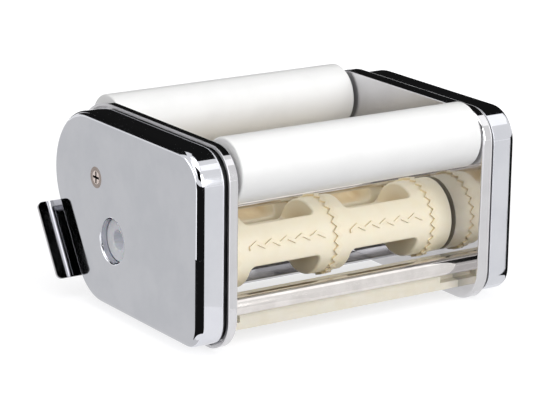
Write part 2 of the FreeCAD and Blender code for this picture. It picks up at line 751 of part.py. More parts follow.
def crankHub():
    """The hub on the driving shaft, with the round socket that the crank handle goes into."""
    body = newBody("crank_hub", ROLLER_Y, "roller_z", "roller_tilt")
    face = value(f"-({HUB_FACE})")
    sketch = newSketch(body, offset=f"-({CLIP_FACE})")
    circle(sketch, "0", "0", HUB_RADIUS)
    extrude("Pad", body, sketch, f"{HUB_FACE} - ({CLIP_FACE})", backwards=True)
    rim = value(HUB_RADIUS)
    fillet(body, "hub_round", lambda edge: atX(edge, face) and onCircle(edge, rim))
    sketch = newSketch(body, offset=f"-({HUB_FACE})")
    circle(sketch, "0", "0", "socket_radius")
    extrude("Pocket", body, sketch, "socket_depth", backwards=True)
    floor = value(f"-({HUB_FACE} - socket_depth)")
    fillet(body, "socket_floor_round", lambda edge: atX(edge, floor))
    mouth = value("socket_radius")
    fillet(body, "socket_mouth_round", lambda edge: atX(edge, face) and onCircle(edge, mouth))
    sketch = newSketch(body, offset=f"-({CLIP_FACE})")
    circle(sketch, "0", "0", "shaft_radius")
    extrude("Pocket", body, sketch, f"{SHAFT_SEAT_END} - ({CLIP_FACE})")
    crossHole(body, f"-({CLIP_FACE} + hub_pin_offset)")


def drivePin(label, way, x, radius):
    """A pin through a shaft and what it drives, a little shorter than the part it goes through."""
    body = newBody(label, f"{way} * {ROLLER_Y}", "roller_z", f"{way} * roller_tilt")
    sketch = newSketch(body, "XY_Plane")
    circle(sketch, x, "0", "pin_radius")
    extrude("Pad", body, sketch, f"2 * ({radius} - pin_short)", both=True)


def gearOutline():
    """The involute outline of a spur gear about the X axis, with a tooth along +Y."""
    count = int(value("tooth_count"))
    pitch = value(ROLLER_Y)
    base = pitch * math.cos(math.radians(value("pressure_angle")))
    tip = pitch + value("tooth_module")
    root = pitch - value("tooth_root * tooth_module")
    half_tooth = math.pi / (2 * count) - value("gear_thinning") / (2 * pitch)
    start = max(base, root)

    def spot(radius, angle):
        return Vector(0, radius * math.cos(angle), radius * math.sin(angle))

    def flankAngle(radius):
        """Half the angle that the tooth spans at a radius."""
        turn = math.acos(min(1, base / radius))
        pitch_turn = math.acos(base / pitch)
        return half_tooth + (math.tan(pitch_turn) - pitch_turn) - (math.tan(turn) - turn)

    radii = [start + (tip - start) * step / 4 for step in range(5)]
    edges = []
    for tooth in range(count):
        middle = 2 * math.pi * tooth / count
        rise = [spot(radius, middle - flankAngle(radius)) for radius in radii]
        fall = [spot(radius, middle + flankAngle(radius)) for radius in reversed(radii)]
        foot = spot(root, middle - flankAngle(start))
        heel = spot(root, middle + flankAngle(start))
        gap_end = spot(root, middle + 2 * math.pi / count - flankAngle(start))
        gap_middle = spot(root, middle + math.pi / count)
        edges.append(Part.LineSegment(foot, rise[0]).toShape())
        edges.append(smoothEdge(rise))
        edges.append(Part.Arc(rise[-1], spot(tip, middle), fall[0]).toShape())
        edges.append(smoothEdge(fall))
        edges.append(Part.LineSegment(fall[-1], heel).toShape())
        edges.append(Part.Arc(heel, gap_middle, gap_end).toShape())
    return Part.Face(Part.Wire(edges))


def smoothEdge(spots):
    """A smooth curve through the given points."""
    curve = Part.BSplineCurve()
    curve.interpolate(spots)
    return curve.toShape()


def gear(label, way, turn):
    """A spur gear with a boss, bored for its shaft and drive pin."""
    along = Vector(1, 0, 0)
    start = Vector(value(CLIP_FACE), 0, 0)
    width = value("gear_width")
    boss = Part.makeCylinder(value("gear_boss_radius"), width + value("gear_boss_length"), start, along)
    bore = Part.makeCylinder(value("shaft_radius"), value(GEAR_END), Vector(), along)
    pin_x = value(f"{GEAR_END} - pin_inset")
    turned = math.radians(value(f"{way} * roller_tilt") - value(turn))
    pin_way = Vector(0, -math.sin(turned), math.cos(turned))
    pin_start = Vector(pin_x, 0, 0) - pin_way * value("gear_boss_radius")
    pin = Part.makeCylinder(value("pin_radius"), 2 * value("gear_boss_radius"), pin_start, pin_way)
    teeth = gearOutline()
    teeth.translate(start)
    item = doc.addObject("Part::Feature", label)
    item.Label = label
    item.Shape = teeth.extrude(along * width).fuse(boss).cut(bore).cut(pin).removeSplitter()
    place(item, f"{way} * {ROLLER_Y}", "roller_z", turn)
    nodes.append(item)


def scraper(label, way, heel):
    """A scraper bar whose lip runs along the underside of a moulding roller."""
    body = newBody(label)
    sketch = newSketch(body)
    corners = [
        (f"{way} * scraper_back", heel),
        (f"{way} * scraper_under_end", heel),
        (f"{way} * scraper_lip_y", "scraper_lip_z"),
        (f"{way} * (scraper_lip_y + scraper_tip / 2)", "scraper_lip_z + scraper_tip"),
        (f"{way} * scraper_top_end", f"{heel} + scraper_heel"),
        (f"{way} * scraper_back", f"{heel} + scraper_heel"),
    ]
    polygon(sketch, corners)
    extrude("Pad", body, sketch, "inner_width", both=True)
    sketch = newSketch(body, offset=PLATE_FACE)
    inner = f"{way} * (scraper_back - scraper_notch_depth)"
    outer = f"{way} * (scraper_back + scraper_notch_depth)"
    floor = f"{heel} + scraper_notch_floor"
    top = f"{heel} + 2 * scraper_heel"
    polygon(sketch, [(inner, floor), (outer, floor), (outer, top), (inner, top)])
    notch = extrude("Pocket", body, sketch, "scraper_notch_length")
    sketch = newSketch(body, offset=PLATE_FACE)
    circle(sketch, f"{way} * scraper_screw_y", f"{heel} + scraper_screw_lift", "screw_radius")
    bore = extrude("Pocket", body, sketch, "screw_length")
    mirrorEnds(body, [notch, bore])


def mountingPlate():
    """A bent plate across the slanted rear, whose ends stand out past the covers as ears."""
    body = newBody("mounting_plate")
    reach = f"({COVER_FACE} + ear_reach)"
    low = "ear_low / cos(slant)"
    high = "ear_high / cos(slant)"
    sketch = slopeSketch(body)
    roundedOutline(sketch, [(f"-{reach}", low, "ear_round"), (reach, low, "ear_round"),
                            (reach, high, "ear_round"), (f"-{reach}", high, "ear_round")])
    extrude("Pad", body, sketch, "sheet_wall", backwards=True)
    rear = "(plate_rear + sheet_wall / cos(slant))"
    middle = "(ear_low + ear_high) / 2"
    flange_top = "(flange_low + sheet_wall)"
    sketch = newSketch(body)
    roundedOutline(sketch, [
        ("flange_front", "flange_low", "sheet_wall / 4"),
        (f"{rear} + flange_low * tan(slant)", "flange_low", "flange_bend + sheet_wall"),
        (f"{rear} + {middle} * tan(slant)", middle, "sheet_wall / 4"),
        (f"plate_rear + {middle} * tan(slant)", middle, "sheet_wall / 4"),
        (f"plate_rear + {flange_top} * tan(slant)", flange_top, "flange_bend"),
        ("flange_front", flange_top, "sheet_wall / 4"),
    ])
    extrude("Pad", body, sketch, "inner_width - 2 * mount_play", both=True)
    sketch = slopeSketch(body)
    for side in (-1, 1):
        for x, up in rivetPlaces(side):
            circle(sketch, x, up, "rivet_radius")
    extrude("Pocket", body, sketch, "3 * sheet_wall", both=True)
    sketch = slopeSketch(body, "-sheet_wall")
    for side in (-1, 1):
        for x, up in rivetPlaces(side):
            circle(sketch, x, up, "rivet_head_radius")
    extrude("Pocket", body, sketch, "rivet_head", backwards=True)


def rivets():
    """The flush rivets that hold the mounting plate to the rear flanges of the side plates."""
    body = newBody("mounting_rivets", separate=True)
    features = []
    for height, radius, length, backwards in (
            ("sheet_wall", "rivet_radius", "2 * sheet_wall", True),
            ("-sheet_wall", "rivet_head_radius", "rivet_head", False),
            ("sheet_wall", "rivet_tail_radius", "rivet_tail", False)):
        sketch = slopeSketch(body, height)
        for x, up in rivetPlaces(1):
            circle(sketch, x, up, radius)
        features.append(extrude("Pad", body, sketch, length, backwards))
    mirrorEnds(body, features)


def plateScrews():
    """The screws that hold the tie rods, lower rods and scrapers between the side plates."""
    body = newBody("plate_screws", separate=True)
    heads = newSketch(body, offset=WEB_FACE)
    shanks = newSketch(body, offset=WEB_FACE)
    crosses = newSketch(body, offset=f"{WEB_FACE} + screw_head")
    for y, z in screwPlaces():
        circle(heads, y, z, "screw_head_radius")
        circle(shanks, y, z, "screw_radius")
        cross(crosses, y, z, "cross_span", "cross_slot")
    features = [
        extrude("Pad", body, heads, "screw_head"),
        extrude("Pad", body, shanks, "screw_length", backwards=True),
        extrude("Pocket", body, crosses, "cross_cut"),
    ]
    mirrorEnds(body, features)


def coverPost(label, side):
    """The tapped post that a cover's screw goes into."""
    body = newBody(label)
    sketch = newSketch(body, offset=f"{side} * {WEB_FACE}")
    circle(sketch, "cover_screw_y", "cover_screw_z", "post_radius")
    extrude("Pad", body, sketch, f"{COVER_INSIDE} - {WEB_FACE}", backwards=side < 0)
    sketch = newSketch(body, offset=f"{side} * {COVER_INSIDE}")
    circle(sketch, "cover_screw_y", "cover_screw_z", "cover_screw_radius")
    extrude("Pocket", body, sketch, "cover_screw_length", backwards=side < 0)
    countersink(body, side)


def coverScrews():
    """The two countersunk screws that hold the covers."""
    body = newBody("cover_screws", separate=True)
    for side in (-1, 1):
        sketch = newSketch(body, offset=f"{side} * ({COVER_FACE} - cover_screw_length)")
        circle(sketch, "cover_screw_y", "cover_screw_z", "cover_screw_radius")
        extrude("Pad", body, sketch, "cover_screw_length - cover_cross_cut / 2", backwards=side < 0)
        seatCone(body, "PartDesign::AdditiveCone", side)
        sketch = newSketch(body, offset=f"{side} * {COVER_FACE}")
        cross(sketch, "cover_screw_y", "cover_screw_z", "cover_cross_span", "cover_cross_slot")
        extrude("Pocket", body, sketch, "cover_cross_cut", backwards=side < 0)


def finish():
    """Check every object, then write each piece to its own file."""
    doc.recompute()
    for item in doc.Objects:
        if "Invalid" in item.State or "Error" in item.State:
            raise RuntimeError(f"{item.Label} of type {item.TypeId} failed: {item.State}")
    os.makedirs("parts", exist_ok=True)
    for node in nodes:
        if node.Shape.isNull() or not node.Shape.isValid():
            raise RuntimeError(f"{node.Label} has no valid shape")
        node.Shape.exportStep(f"parts/{node.Label}.step")
        box = node.Shape.BoundBox
        print(f"{node.Label}: {len(node.Shape.Solids)} solid, {node.Shape.Volume:.0f} mm3,",
              f"x {box.XMin:.1f}..{box.XMax:.1f} y {box.YMin:.1f}..{box.YMax:.1f}",
              f"z {box.ZMin:.1f}..{box.ZMax:.1f}")


sidePlate("side_plate_left", -1)
sidePlate("side_plate_right", 1)
cover("cover_left", -1, True)
cover("cover_right", 1, False)
spacer("spacer_frame_left", -1)
spacer("spacer_frame_right", 1)
for end, y, z in (("front", "front_tube_y", "front_tube_z"), ("rear", "rear_tube_y", "rear_tube_z")):
    tube(f"{end}_tube", y, z)
    tubeBush(f"{end}_tube_bush_left", y, z, -1)
    tubeBush(f"{end}_tube_bush_right", y, z, 1)
    crossRod(f"{end}_tie_rod", y, z, "tie_radius")
crossRod("front_lower_rod", "-lower_rod_y", "front_rod_z", "lower_rod_radius")
crossRod("rear_lower_rod", "lower_rod_y", "rear_rod_z", "lower_rod_radius")
guideRod("front_guide_rod", "-guide_y")
guideRod("rear_guide_rod", "guide_y")
rearRoller(frontRoller())
frontShaft()
rearShaft()
retainingClip()
for way, end in ((-1, "front"), (1, "rear")):
    bearingBush(f"{end}_bearing_left", way, -1)
    bearingBush(f"{end}_bearing_right", way, 1)
    drivePin(f"{end}_gear_pin", way, f"{GEAR_END} - pin_inset", "gear_boss_radius")
crankHub()
drivePin("crank_hub_pin", 1, f"-({CLIP_FACE} + hub_pin_offset)", HUB_RADIUS)
gear("front_gear", -1, "0")
gear("rear_gear", 1, "180 / tooth_count")
scraper("front_scraper", -1, "front_scraper_z")
scraper("rear_scraper", 1, "rear_scraper_z")
mountingPlate()
rivets()
plateScrews()
coverPost("cover_post_left", -1)
coverPost("cover_post_right", 1)
coverScrews()
finish()
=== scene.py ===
import math

import bpy
from mathutils import Matrix, Vector


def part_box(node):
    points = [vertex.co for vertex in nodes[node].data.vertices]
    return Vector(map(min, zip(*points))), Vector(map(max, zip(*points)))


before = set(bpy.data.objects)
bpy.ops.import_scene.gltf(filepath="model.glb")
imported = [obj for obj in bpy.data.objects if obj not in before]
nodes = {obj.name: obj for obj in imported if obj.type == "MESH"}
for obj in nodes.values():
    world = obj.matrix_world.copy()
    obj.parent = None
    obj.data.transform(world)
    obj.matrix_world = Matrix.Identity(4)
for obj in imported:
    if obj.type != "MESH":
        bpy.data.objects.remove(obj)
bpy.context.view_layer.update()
scene = bpy.context.scene
scene.view_settings.view_transform = "Standard"
print("ravioli maker: frame loaded,", len(nodes), "pieces")

mm = 0.001
nipY = (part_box("front_roller")[1].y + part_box("rear_roller")[0].y) / 2  # between the two rollers
sideways, roundX, level = (1, 0, 0), (0, 1, 1), (1, 1, 0)  # axes that a distance is measured along
mixShare, mixFirst, mixSecond, mixResult = 0, 6, 7, 2  # a Mix node's sockets for colours


class Wire:
    # one output of a shader node, so that shader values add and multiply like numbers
    def __init__(self, finish, socket):
        self.finish = finish
        self.socket = socket

    def maths(self, operation, first, second):
        return self.finish.node("ShaderNodeMath", {"operation": operation}, {0: first, 1: second})

    def larger(self, other):
        return self.maths("MAXIMUM", self, other)

    def __add__(self, other):
        return self.maths("ADD", self, other)

    def __radd__(self, other):
        return self.maths("ADD", other, self)

    def __sub__(self, other):
        return self.maths("SUBTRACT", self, other)

    def __rsub__(self, other):
        return self.maths("SUBTRACT", other, self)

    def __mul__(self, other):
        return self.maths("MULTIPLY", self, other)

    def __rmul__(self, other):
        return self.maths("MULTIPLY", other, self)


class Finish:
    # a material or the world, with one way to add any node
    def __init__(self, block):
        block.use_nodes = True
        self.block = block
        self.tree = block.node_tree
        self.tree.nodes.clear()

    def node(self, kind, settings=None, inputs=None, output=0):
        made = self.tree.nodes.new(kind)
        for name, value in (settings or {}).items():
            setattr(made, name, value)
        for name, value in (inputs or {}).items():
            if isinstance(value, Wire):
                self.tree.links.new(value.socket, made.inputs[name])
            else:
                made.inputs[name].default_value = value
        return Wire(self, made.outputs[output]) if made.outputs else None

    def place(self):
        return self.node("ShaderNodeTexCoord", output="Object")  # metres in the frame

    def grain(self, size, detail=3.0, rough=0.55, vector=None):
        # noise whose blotches are about size across, in metres
        return self.node("ShaderNodeTexNoise", None,
                         {"Vector": vector or self.place(), "Scale": 1 / size,
                          "Detail": detail, "Roughness": rough})

    def streaks(self, size, factors):
        # noise drawn out along the axes whose factor is small
        drawn = self.node("ShaderNodeVectorMath", {"operation": "MULTIPLY"},
                          {0: self.place(), 1: factors})
        return self.grain(size, detail=2.0, rough=0.5, vector=drawn)

    def distance(self, axes, centre=(0, 0, 0)):
        # how far a point is from the centre, measured only along the axes that are 1
        offset = self.node("ShaderNodeVectorMath", {"operation": "SUBTRACT"},
                           {0: self.place(), 1: centre})
        kept = self.node("ShaderNodeVectorMath", {"operation": "MULTIPLY"}, {0: offset, 1: axes})
        return self.node("ShaderNodeVectorMath", {"operation": "LENGTH"}, {0: kept}, "Value")

    def spread(self, value, low, high, bottom=0.0, top=1.0, smooth=True):
        # from bottom to top as the value goes from low to high
        return self.node("ShaderNodeMapRange",
                         {"interpolation_type": "SMOOTHSTEP" if smooth else "LINEAR"},
                         {"Value": value, "From Min": low, "From Max": high,
                          "To Min": bottom, "To Max": top})

    def patches(self, size, limits, detail=3.0):
        # soft blotches from 0 to 1, with the noise cut off at the limits
        return self.spread(self.grain(size, detail), *limits)

    def mixed(self, share, first, second):
        return self.node("ShaderNodeMix", {"data_type": "RGBA"},
                         {mixShare: share, mixFirst: first, mixSecond: second}, mixResult)

    def roughness(self, value, look):
        low, high = look.get("roughLimits", (0.0, 1.0))
        return self.spread(value, low, high, look["roughLow"], look["roughHigh"])

    def bumped(self, height, look):
        return self.node("ShaderNodeBump", None,
                         {"Height": height, "Strength": look["bump"],
                          "Distance": look["bumpDepth"]})

    def seen(self):
        # 1 for what the eye, a mirror or a clear part sees, 0 for what only lights the object
        camera, glossy, clear = [self.node("ShaderNodeLightPath", output=name) for name in
                                 ("Is Camera Ray", "Is Glossy Ray", "Is Transmission Ray")]
        return camera.larger(glossy).larger(clear)

    def principled(self, **sockets):
        names = {name.replace("_", " "): value for name, value in sockets.items()}
        shader = self.node("ShaderNodeBsdfPrincipled", None, names)
        self.node("ShaderNodeOutputMaterial", None, {"Surface": shader})
        return self.block


def newFinish(name):
    return Finish(bpy.data.materials.new(name))


# polished chrome on pressed steel: nearly a mirror, with wipe marks, a faint waviness and, where
# the pressing was trimmed, a dull rim
plateLook = {
    "bright": (0.63, 0.625, 0.64, 1), "dull": (0.59, 0.585, 0.60, 1),
    "smudge": 20 * mm, "smudgeLimits": (0.35, 0.7),
    "hairline": 0.35 * mm, "hairStretch": (1, 1, 0.05), "hairShare": 0.25, "hairHeight": 0.004,
    "roughLow": 0.035, "roughHigh": 0.10,
    "rim": 0.7 * mm, "rimSoft": 0.8, "rimRough": 0.55,
    "wave": 26 * mm, "bump": 0.10, "bumpDepth": 0.35 * mm,
}
coverLook = {**plateLook, "bright": (0.655, 0.662, 0.70, 1), "dull": (0.615, 0.625, 0.665, 1),
             "smudge": 22 * mm}


def chromePlate(node, look):
    finish = newFinish("chrome_" + node)
    cloud = finish.patches(look["smudge"], look["smudgeLimits"], detail=4.0)
    hairs = finish.streaks(look["hairline"], look["hairStretch"])
    wiped = cloud * (1 - look["hairShare"]) + hairs * look["hairShare"]
    rough = finish.roughness(wiped, look)
    if "mounting" not in node:
        # the rim is the edge of the pressing that stands on the black frame
        low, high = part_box(node)
        near, far = sorted((abs(low.x), abs(high.x)))
        out = finish.distance(sideways)
        inset = out - near if "cover" in node else far - out
        rim = 1 - finish.spread(inset, look["rim"] * look["rimSoft"], look["rim"])
        rough = finish.spread(rim, 0.0, 1.0, rough, look["rimRough"], smooth=False)
    wave = finish.grain(look["wave"], detail=1.0, rough=0.4)
    bump = finish.bumped(wave + hairs * look["hairHeight"], look)
    return finish.principled(Base_Color=finish.mixed(cloud, look["bright"], look["dull"]),
                             Metallic=1.0, Roughness=rough, Normal=bump)


# drawn and plated bar: polished, with fine lines round it from the drawing die
rodLook = {
    "bright": (0.72, 0.69, 0.67, 1), "dull": (0.64, 0.61, 0.59, 1),
    "patch": 14 * mm, "patchLimits": (0.35, 0.68),
    "line": 0.5 * mm, "lineStretch": (0.04, 1, 1), "lineShare": 0.5,
    "roughLow": 0.06, "roughHigh": 0.14, "roughLimits": (0.15, 0.85),
    "bump": 0.06, "bumpDepth": 0.04 * mm,
}


def chromeRod():
    look = rodLook
    finish = newFinish("chromeRod")
    lines = finish.streaks(look["line"], look["lineStretch"])
    cloud = finish.patches(look["patch"], look["patchLimits"])
    rough = finish.roughness(lines * look["lineShare"] + cloud * (1 - look["lineShare"]), look)
    bump = finish.bumped(lines, look)
    return finish.principled(Base_Color=finish.mixed(cloud, look["bright"], look["dull"]),
                             Metallic=1.0, Roughness=rough, Normal=bump)


# turned steel of the shafts, gears and posts: rings from the tool, smoother where there is oil
steelLook = {
    "bright": (0.60, 0.60, 0.61, 1), "dull": (0.40, 0.40, 0.42, 1),
    "oil": 6 * mm, "oilLimits": (0.38, 0.66),
    "cut": 0.22 * mm, "cutStretch": (1, 0.06, 0.06),
    "roughDry": 0.38, "roughOiled": 0.2,
    "bump": 0.3, "bumpDepth": 0.05 * mm,
}


def brightSteel():
    look = steelLook
    finish = newFinish("brightSteel")
    cuts = finish.streaks(look["cut"], look["cutStretch"])
    oil = finish.patches(look["oil"], look["oilLimits"])
    rough = finish.spread(oil, 0.0, 1.0, look["roughDry"], look["roughOiled"])
    bump = finish.bumped(cuts, look)
    return finish.principled(Base_Color=finish.mixed(oil, look["bright"], look["dull"]),
                             Metallic=1.0, Roughness=rough, Normal=bump)


# nickel on the screws: warmer than the chrome, tumbled, with painted shade in the driver's cross
# and a painted shade ring at the rim
nickelLook = {
    "bright": (0.88, 0.77, 0.72, 1), "dull": (0.70, 0.59, 0.54, 1),
    "recessShade": (0.07, 0.045, 0.035, 1),
    "cloud": 1.6 * mm, "cloudLimits": (0.35, 0.7),
    # how far out the head's face is, and how far below it the painted shade is full
    "flush": 99.6 * mm, "sunk": 0.5 * mm,
    "rim": 3.45 * mm, "rimSoft": 0.25 * mm, "rimShadeShare": 0.6,
    "roughLow": 0.2, "roughHigh": 0.36,
    "pit": 0.45 * mm, "bump": 0.25, "bumpDepth": 0.03 * mm,
}


def nickelScrew():
    look = nickelLook
    finish = newFinish("nickelScrew")
    pits = finish.grain(look["pit"], rough=0.6)
    cloud = finish.patches(look["cloud"], look["cloudLimits"], detail=2.0)
    rough = finish.roughness(cloud, look)
    bump = finish.bumped(pits, look)
    low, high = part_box("cover_screws")
    radius = finish.distance(roundX, (0, (low.y + high.y) / 2, (low.z + high.z) / 2))
    # painted shade: darker below the head's face, in the driver's cross, and in a ring at the rim
    sunk = finish.spread(finish.distance(sideways),
                         look["flush"] - look["sunk"], look["flush"], 1.0, 0.0)
    edge = finish.spread(radius, look["rim"], look["rim"] + look["rimSoft"], 0.0, look["rimShadeShare"])
    plated = finish.mixed(cloud, look["bright"], look["dull"])
    return finish.principled(Base_Color=finish.mixed(sunk.larger(edge), plated, look["recessShade"]),
                             Metallic=1.0, Roughness=rough, Normal=bump)


# white moulded tubes and bushes: smooth, with lengthwise draw lines and a trace of handling
tubeLook = {
    "clean": (0.89, 0.89, 0.885, 1), "handled": (0.83, 0.83, 0.825, 1),
    "touch": 24 * mm, "touchLimits": (0.42, 0.72), "touchTint": 0.6, "touchShare": 0.7,
    "draw": 0.6 * mm, "drawStretch": (0.03, 1, 1),
    "orangePeel": 1.8 * mm, "peelShare": 0.6,
    "roughLow": 0.30, "roughHigh": 0.42,
    "bump": 0.12, "bumpDepth": 0.05 * mm,
}


def whitePlastic():
    look = tubeLook
    finish = newFinish("whitePlastic")
    draw = finish.streaks(look["draw"], look["drawStretch"])
    peel = finish.grain(look["orangePeel"], detail=2.0)
    touch = finish.patches(look["touch"], look["touchLimits"], detail=4.0)
    rough = finish.roughness(touch * look["touchShare"] + draw * (1 - look["touchShare"]), look)
    bump = finish.bumped(peel * look["peelShare"] + draw * (1 - look["peelShare"]), look)
    tint = finish.mixed(touch * look["touchTint"], look["clean"], look["handled"])
    return finish.principled(Base_Color=tint, Roughness=rough, Normal=bump)


# white nylon of the hub and bearings: waxy and a little see-through
nylonLook = {
    "clean": (0.87, 0.885, 0.925, 1), "worn": (0.82, 0.835, 0.88, 1),
    "flow": 7 * mm, "flowLimits": (0.35, 0.7),
    "roughLow": 0.34, "roughHigh": 0.44,
    "grain": 0.35 * mm, "bump": 0.2, "bumpDepth": 0.03 * mm,
    "glow": 0.15, "glowDepth": 1.5 * mm,
}


def whiteNylon():
    look = nylonLook
    finish = newFinish("whiteNylon")
    cloud = finish.patches(look["flow"], look["flowLimits"])
    rough = finish.roughness(cloud, look)
    bump = finish.bumped(finish.grain(look["grain"], detail=2.0), look)
    return finish.principled(Base_Color=finish.mixed(cloud, look["clean"], look["worn"]),
                             Roughness=rough, Normal=bump,
                             Subsurface_Weight=look["glow"], Subsurface_Scale=look["glowDepth"])


# cream moulded plastic: ivory on the crests, with painted shade in ochre on the crest flanks and in
# the pockets round each roller
creamGlow = {"Subsurface_Weight": 0.12, "Subsurface_Scale": 1.2 * mm,
             "Subsurface_Radius": (1.0, 0.7, 0.35)}
creamLook = {
    "face": (0.95, 0.875, 0.70, 1), "flankShade": (0.76, 0.60, 0.33, 1),
    "pocketShade": (0.66, 0.52, 0.32, 1), "flow": (0.90, 0.80, 0.59, 1),
    "footRadii": (20.37 * mm, 20.70 * mm),  # where the painted ochre shade on the flanks comes in over the land
    "crestRadii": (21.25 * mm, 21.65 * mm),  # where the crests clear it again
    "pocketShadeRadii": (5 * mm, 19.35 * mm),  # painted shade in the pockets, darker inwards
    "flankShadeShare": 0.7, "crestClear": 0.8, "flowTint": 0.3,
    "patch": 7 * mm, "patchLimits": (0.35, 0.7), "patchShare": 0.6,
    "roughLow": 0.36, "roughHigh": 0.52, "roughLimits": (0.1, 0.9),
    "grain": 0.4 * mm, "bump": 0.25, "bumpDepth": 0.04 * mm,
    "fromNip": 22 * mm, "height": 41.8 * mm,
}
rollerSides = {"front_roller": -1, "rear_roller": 1}


def creamRoller(node):
    look = creamLook
    finish = newFinish("creamPlastic_" + node)
    axis = (0, nipY + rollerSides[node] * look["fromNip"], look["height"])
    radius = finish.distance(roundX, axis)
    # painted shade: ochre on the crest flanks and darker, browner pockets, both set by the distance
    # from the roller's axis
    foot = finish.spread(radius, *look["footRadii"])
    top = finish.spread(radius, *look["crestRadii"])
    depth = finish.spread(radius, *look["pocketShadeRadii"])
    patch = finish.patches(look["patch"], look["patchLimits"])
    flankShade = foot * (1 - top * look["crestClear"]) * look["flankShadeShare"]
    tone = finish.mixed(depth, look["pocketShade"], look["face"])
    tone = finish.mixed(flankShade, tone, look["flankShade"])
    tone = finish.mixed(patch * look["flowTint"], tone, look["flow"])
    fine = finish.grain(look["grain"])
    rough = finish.roughness(patch * look["patchShare"] + fine * (1 - look["patchShare"]), look)
    return finish.principled(Base_Color=tone, Roughness=rough, Normal=finish.bumped(fine, look),
                             **creamGlow)


# the same plastic on the scraper bars, aged in patches
barLook = {
    "clean": (0.86, 0.815, 0.70, 1), "aged": (0.80, 0.735, 0.58, 1), "agedTint": 0.5,
    "patch": 9 * mm, "patchLimits": (0.35, 0.72), "patchShare": 0.6,
    "roughLow": 0.36, "roughHigh": 0.5, "roughLimits": (0.1, 0.9),
    "grain": 0.4 * mm, "bump": 0.22, "bumpDepth": 0.04 * mm,
}


def creamBar():
    look = barLook
    finish = newFinish("creamPlastic_bar")
    patch = finish.patches(look["patch"], look["patchLimits"])
    fine = finish.grain(look["grain"])
    rough = finish.roughness(patch * look["patchShare"] + fine * (1 - look["patchShare"]), look)
    tone = finish.mixed(patch * look["agedTint"], look["clean"], look["aged"])
    return finish.principled(Base_Color=tone, Roughness=rough, Normal=finish.bumped(fine, look),
                             **creamGlow)


# black moulded frames between plate and cover: satin, spark-eroded grain, dusty in places
blackLook = {
    "deep": (0.010, 0.010, 0.011, 1), "dusty": (0.030, 0.030, 0.032, 1),
    "dust": 11 * mm, "dustLimits": (0.45, 0.75), "dustShare": 0.6,
    "roughLow": 0.34, "roughHigh": 0.55, "roughLimits": (0.1, 0.9),
    "grain": 0.3 * mm, "bump": 0.35, "bumpDepth": 0.05 * mm,
}


def blackPlastic():
    look = blackLook
    finish = newFinish("blackPlastic")
    fine = finish.grain(look["grain"])
    dust = finish.patches(look["dust"], look["dustLimits"], detail=4.0)
    rough = finish.roughness(dust * look["dustShare"] + fine * (1 - look["dustShare"]), look)
    return finish.principled(Base_Color=finish.mixed(dust, look["deep"], look["dusty"]),
                             Roughness=rough, Normal=finish.bumped(fine, look))


finishes = {
    "chrome_rod": chromeRod(), "bright_steel": brightSteel(), "nickel_screw": nickelScrew(),
    "white_plastic": whitePlastic(), "white_nylon": whiteNylon(),
    "black_plastic": blackPlastic(), "cream_plastic": creamBar(),
}
for name, piece in nodes.items():
    slotName = piece.data.materials[0].name.split(".")[0]
    if name in rollerSides:
        piece.data.materials[0] = creamRoller(name)
    elif slotName == "chrome_plate":
        piece.data.materials[0] = chromePlate(name, coverLook if "cover" in name else plateLook)
    else:
        piece.data.materials[0] = finishes[slotName]
print("ravioli maker: finishes on", len(nodes), "pieces")

# studio: white floor and surround, big soft lamps, and dark and light cards that only polished
# parts see
studioLook = {
    "centre": (0.0, 0.0, 0.055),  # middle of the object, which lamps and hung cards face
    "floorColour": (0.40, 0.40, 0.41, 1), "floorReach": 8.0, "floorDrop": 0.2 * mm,
    "floorGlow": 0.73, "fadeFrom": 0.2, "fadeTo": 0.8,  # the floor brightens to white between these
    "ambient": 0.46,
}
white = (1, 1, 1, 1)


def whiteSurround():
    world = bpy.data.worlds.new("studio")
    scene.world = world
    finish = Finish(world)
    strength = finish.seen() * (1 - studioLook["ambient"]) + studioLook["ambient"]
    sky = finish.node("ShaderNodeBackground", None, {"Color": white, "Strength": strength})
    finish.node("ShaderNodeOutputWorld", None, {"Surface": sky})


def card(name, corners, faces=((0, 1, 2, 3),)):
    mesh = bpy.data.meshes.new(name)
    mesh.from_pydata([tuple(corner) for corner in corners], [], faces)
    made = bpy.data.objects.new(name, mesh)
    scene.collection.objects.link(made)
    return made


def paleFloor():
    look = studioLook
    reach = look["floorReach"]
    corners = [(-reach, -reach, 0), (reach, -reach, 0), (reach, reach, 0), (-reach, reach, 0)]
    floor = card("floor", corners)
    finish = newFinish("paleFloor")
    matt = finish.node("ShaderNodeBsdfDiffuse", None, {"Color": look["floorColour"]})
    far = finish.spread(finish.distance(level), look["fadeFrom"], look["fadeTo"])
    share = look["floorGlow"] + far * (1 - look["floorGlow"])
    glow = finish.node("ShaderNodeEmission", None,
                       {"Color": white, "Strength": finish.seen() * share})
    both = finish.node("ShaderNodeAddShader", None, {0: matt, 1: glow})
    finish.node("ShaderNodeOutputMaterial", None, {"Surface": both})
    floor.data.materials.append(finish.block)
    floor.location.z = -look["floorDrop"]


def facing(azimuth, elevation, distance):
    # a point seen from the middle of the object; azimuth 0 is towards -Y, 90 towards +X
    a, e = math.radians(azimuth), math.radians(elevation)
    away = Vector((math.sin(a) * math.cos(e), -math.cos(a) * math.cos(e), math.sin(e)))
    return Vector(studioLook["centre"]) + away * distance, away


def fan(start, end, steps):
    # level directions from one azimuth to another
    angles = [math.radians(start + (end - start) * step / steps) for step in range(steps + 1)]
    return [Vector((math.sin(angle), -math.cos(angle), 0)) for angle in angles]


def hideFromAllButMirrors(made, brightness):
    finish = newFinish(made.name)
    glow = finish.node("ShaderNodeEmission", None, {"Color": white, "Strength": brightness})
    finish.node("ShaderNodeOutputMaterial", None, {"Surface": glow})
    made.data.materials.append(finish.block)
    made.visible_camera = False
    made.visible_diffuse = False
    made.visible_shadow = False
    made.visible_transmission = False
    made.visible_volume_scatter = False


